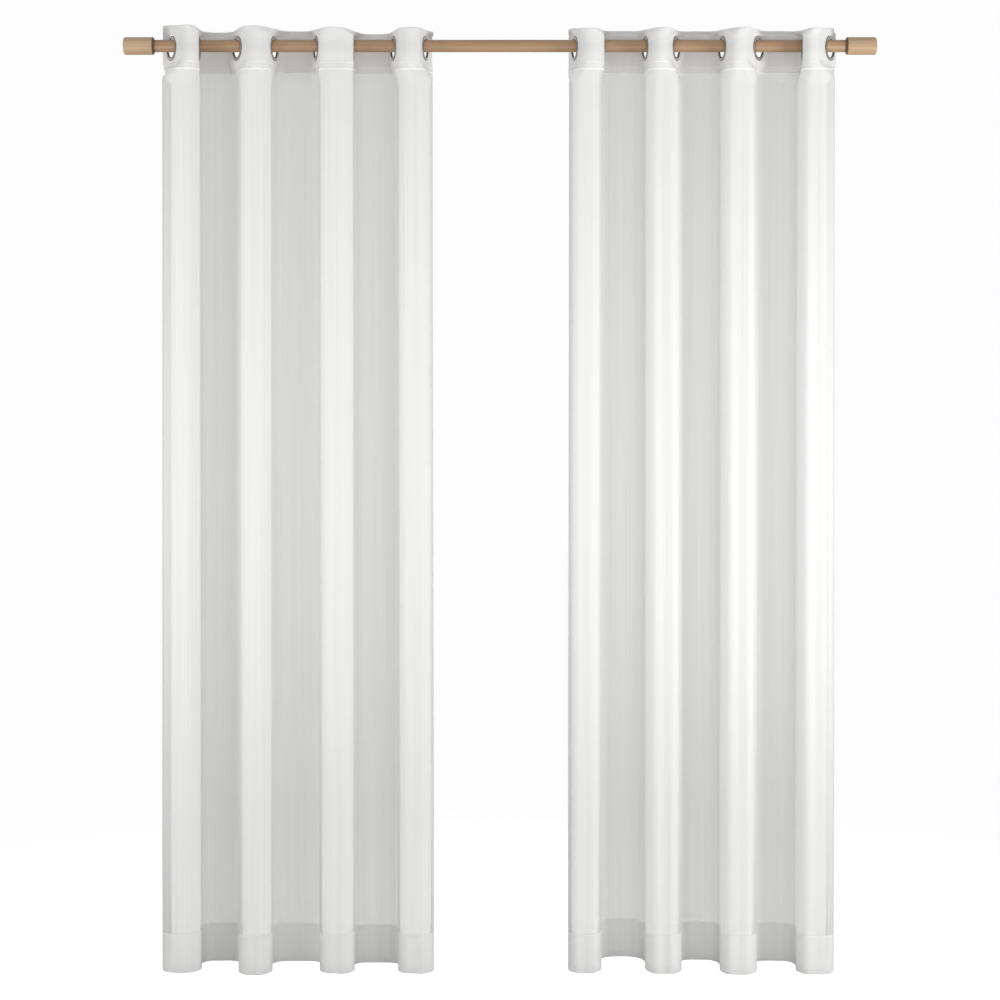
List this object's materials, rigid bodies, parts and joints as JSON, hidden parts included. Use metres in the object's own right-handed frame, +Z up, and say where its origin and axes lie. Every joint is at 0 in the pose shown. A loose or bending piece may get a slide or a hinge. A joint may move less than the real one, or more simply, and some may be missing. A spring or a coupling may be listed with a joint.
{
  "type": "sheer voile eyelet curtain pair on a wooden curtain rod",
  "caption": "Two sheer voile panels with eyelet headings, hung in soft vertical folds on one round wooden rod with plain end caps, to veil a window.",
  "frame": {"origin": "on the rod's axis, at the middle of its length", "axes": "+X along the rod to the right as seen from the room, -Y towards the room, +Z up"},
  "size_m": [1.708, 0.1192, 2.1524],
  "materials": {
    "voile": "sheer white voile, plain weave with faint slubs",
    "doubled_voile": "the same voile folded double over a stiffening tape",
    "eyelet_metal": "satin nickel",
    "rod_wood": "natural beech, fine grain along the rod, matt lacquer",
    "cap_wood": "natural beech, a little paler than the rod, matt lacquer"
  },
  "bodies": {
    "root": {"rod": "rod_wood", "end_cap_left": "cap_wood", "end_cap_right": "cap_wood", "heading_left": "doubled_voile", "heading_right": "doubled_voile", "panel_left": "voile", "panel_right": "voile", "eyelet_left_1": "eyelet_metal", "eyelet_left_2": "eyelet_metal", "eyelet_left_3": "eyelet_metal", "eyelet_left_4": "eyelet_metal", "eyelet_left_5": "eyelet_metal", "eyelet_left_6": "eyelet_metal", "eyelet_left_7": "eyelet_metal", "eyelet_left_8": "eyelet_metal", "eyelet_right_1": "eyelet_metal", "eyelet_right_2": "eyelet_metal", "eyelet_right_3": "eyelet_metal", "eyelet_right_4": "eyelet_metal", "eyelet_right_5": "eyelet_metal", "eyelet_right_6": "eyelet_metal", "eyelet_right_7": "eyelet_metal", "eyelet_right_8": "eyelet_metal"}
  },
  "joints": []
}
